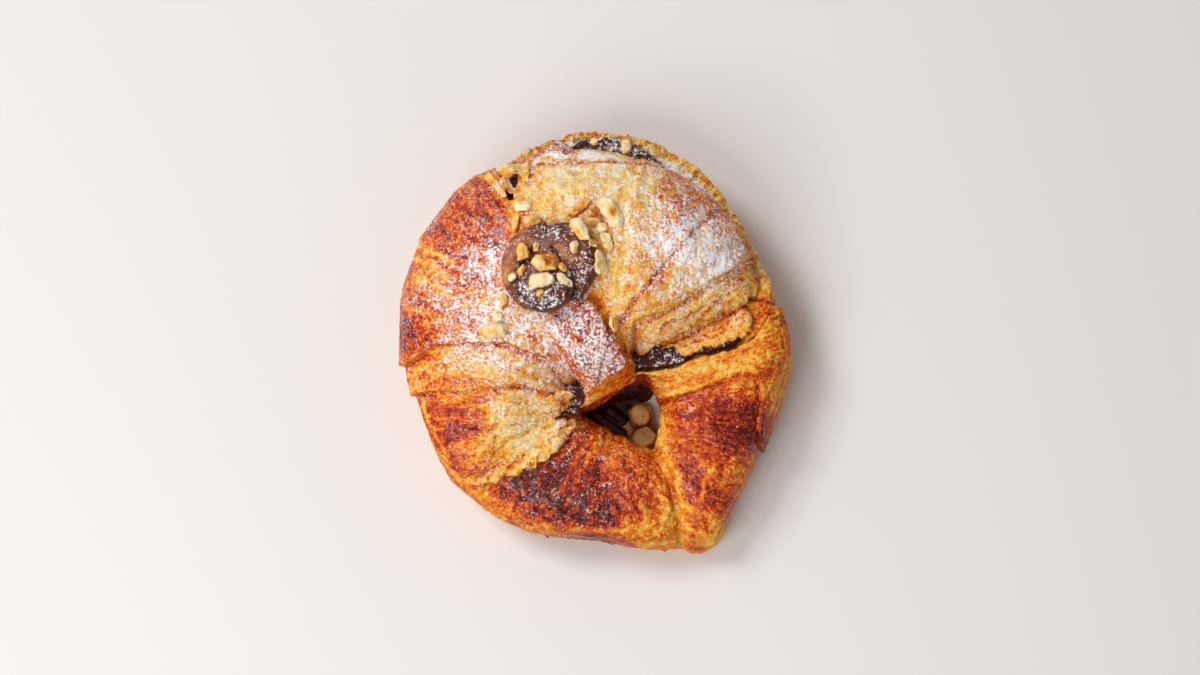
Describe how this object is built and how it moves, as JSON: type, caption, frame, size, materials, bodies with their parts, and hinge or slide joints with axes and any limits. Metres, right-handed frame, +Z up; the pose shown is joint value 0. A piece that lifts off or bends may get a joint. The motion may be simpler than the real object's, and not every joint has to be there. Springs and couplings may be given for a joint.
{
  "type": "chocolate hazelnut croissant",
  "caption": "Flaky croissant curled to a ring, sliced level and filled with chocolate cream, with a swirl of the cream and chopped hazelnuts on its lid.",
  "frame": {"origin": "middle of the footprint of the whole, on the surface that it rests on", "axes": "+Z up; +Y towards the back of the ring, away from the tips of the horns; +X to the side of the right horn, so seen from above with +Y up the page the horns meet at the lower right"},
  "size_m": [0.14, 0.152, 0.0631],
  "materials": {
    "crust": "baked flaky crust, from pale gold to glossy red-brown, dusted with sugar",
    "chocolate_cream": "soft glossy dark chocolate cream",
    "whipped_chocolate": "smooth satin chocolate cream, dusted with sugar",
    "hazelnut": "roasted chopped kernels, cream where broken and golden brown outside"
  },
  "bodies": {
    "root": {"lower_half": "crust", "lid": "crust", "chocolate_filling": "chocolate_cream", "chocolate_swirl": "whipped_chocolate", "hazelnut_01": "hazelnut", "hazelnut_02": "hazelnut", "hazelnut_03": "hazelnut", "hazelnut_04": "hazelnut", "hazelnut_05": "hazelnut", "hazelnut_06": "hazelnut", "hazelnut_07": "hazelnut", "hazelnut_08": "hazelnut", "hazelnut_09": "hazelnut", "hazelnut_10": "hazelnut", "hazelnut_11": "hazelnut", "hazelnut_12": "hazelnut", "hazelnut_13": "hazelnut", "hazelnut_14": "hazelnut", "hazelnut_15": "hazelnut", "hazelnut_16": "hazelnut", "hazelnut_17": "hazelnut", "hazelnut_18": "hazelnut", "hazelnut_19": "hazelnut", "hazelnut_20": "hazelnut", "hazelnut_21": "hazelnut", "hazelnut_22": "hazelnut", "hazelnut_23": "hazelnut", "hazelnut_24": "hazelnut", "hazelnut_25": "hazelnut", "hazelnut_26": "hazelnut", "hazelnut_27": "hazelnut", "hazelnut_28": "hazelnut", "hazelnut_29": "hazelnut", "hazelnut_30": "hazelnut", "hazelnut_31": "hazelnut", "hazelnut_32": "hazelnut", "hazelnut_33": "hazelnut"}
  },
  "joints": []
}
